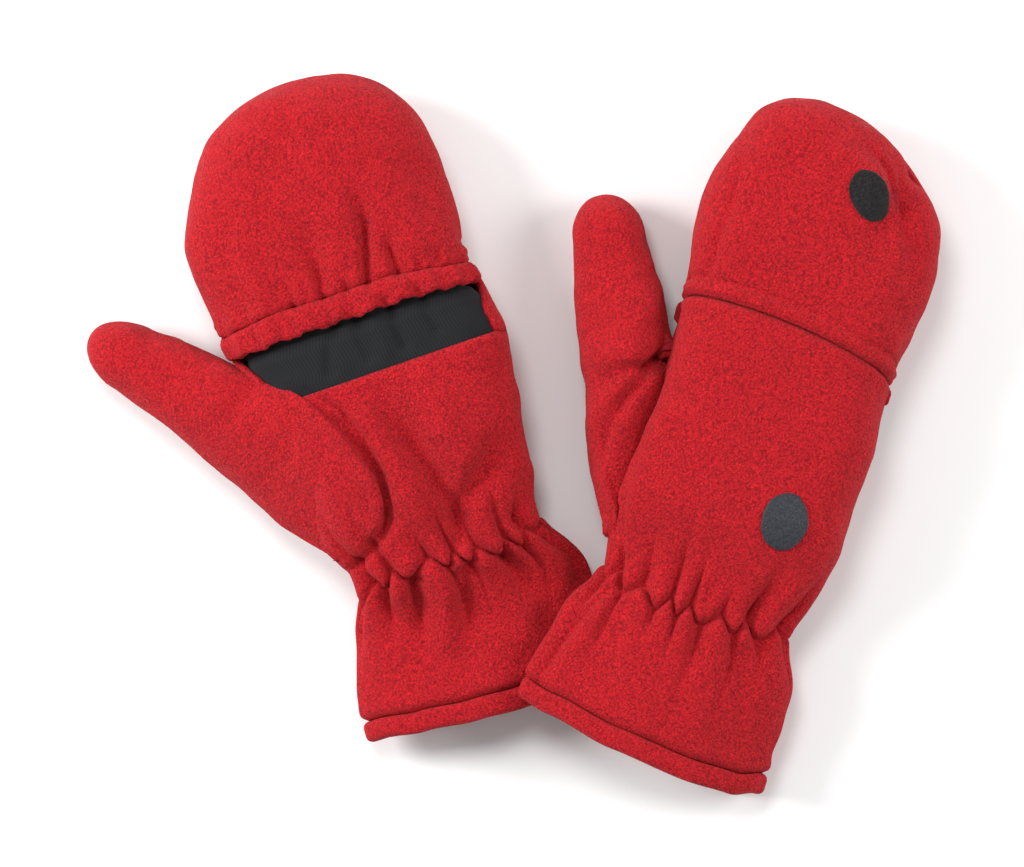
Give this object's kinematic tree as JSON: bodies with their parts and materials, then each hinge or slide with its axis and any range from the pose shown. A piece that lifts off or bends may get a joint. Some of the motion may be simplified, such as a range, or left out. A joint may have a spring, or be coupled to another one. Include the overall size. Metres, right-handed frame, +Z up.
{
  "type": "convertible flip-top mittens",
  "caption": "Pair of fleece mittens whose finger caps fold back on a knuckle seam to bare short knit finger stalls; gathered elastic wrists, flared cuffs, hook and loop discs.",
  "frame": {"origin": "centre of the pair's footprint, on the surface that both mittens lie on", "axes": "+Z up from that surface; +Y from the cuffs towards the fingertips; +X from the palm-up left mitten to the palm-down right mitten"},
  "size_m": [0.3202, 0.2702, 0.046],
  "materials": {
    "fleece": "deep pile fleece",
    "lining_fleece": "short pile fleece",
    "rib_knit": "rib knit",
    "elastic": "woven elastic",
    "hook_tape": "fine hooks",
    "loop_tape": "brushed loops"
  },
  "bodies": {
    "right_hand": {"right_back_panel": "fleece", "right_palm_panel": "fleece", "right_cuff_band": "fleece", "right_wrist_elastic": "elastic", "right_hand_lining": "lining_fleece", "right_knit_band": "rib_knit", "right_index_stall": "rib_knit", "right_middle_stall": "rib_knit", "right_ring_stall": "rib_knit", "right_little_stall": "rib_knit", "right_knuckle_binding": "rib_knit", "right_thumb_sheath": "fleece", "right_thumb_lining": "lining_fleece", "right_hook_disc": "hook_tape"},
    "right_cap": {"right_cap_back_panel": "fleece", "right_cap_palm_panel": "fleece", "right_cap_casing": "fleece", "right_cap_elastic": "elastic", "right_cap_lining": "lining_fleece", "right_loop_disc": "loop_tape"},
    "left_hand": {"left_back_panel": "fleece", "left_palm_panel": "fleece", "left_cuff_band": "fleece", "left_wrist_elastic": "elastic", "left_hand_lining": "lining_fleece", "left_knit_band": "rib_knit", "left_index_stall": "rib_knit", "left_middle_stall": "rib_knit", "left_ring_stall": "rib_knit", "left_little_stall": "rib_knit", "left_knuckle_binding": "rib_knit", "left_thumb_sheath": "fleece", "left_thumb_lining": "lining_fleece", "left_hook_disc": "hook_tape"},
    "left_cap": {"left_cap_back_panel": "fleece", "left_cap_palm_panel": "fleece", "left_cap_casing": "fleece", "left_cap_elastic": "elastic", "left_cap_lining": "lining_fleece", "left_loop_disc": "loop_tape"}
  },
  "joints": [
    {"name": "left_away", "type": "slide", "parent": "right_hand", "child": "left_hand", "axis": [-0.7154, 0.2742, 0.6427], "range_m": [0, 0.115]},
    {"name": "right_cap_flip", "type": "hinge", "parent": "right_hand", "child": "right_cap", "pos_m": [0.10414, 0.03637, 0.046], "axis": [0.9336, -0.3584, 0], "range_deg": [0, 165]},
    {"name": "left_cap_flip", "type": "hinge", "parent": "left_hand", "child": "left_cap", "pos_m": [-0.06476, 0.05284, 0], "axis": [-0.9455, -0.3256, 0], "range_deg": [0, 165]}
  ]
}
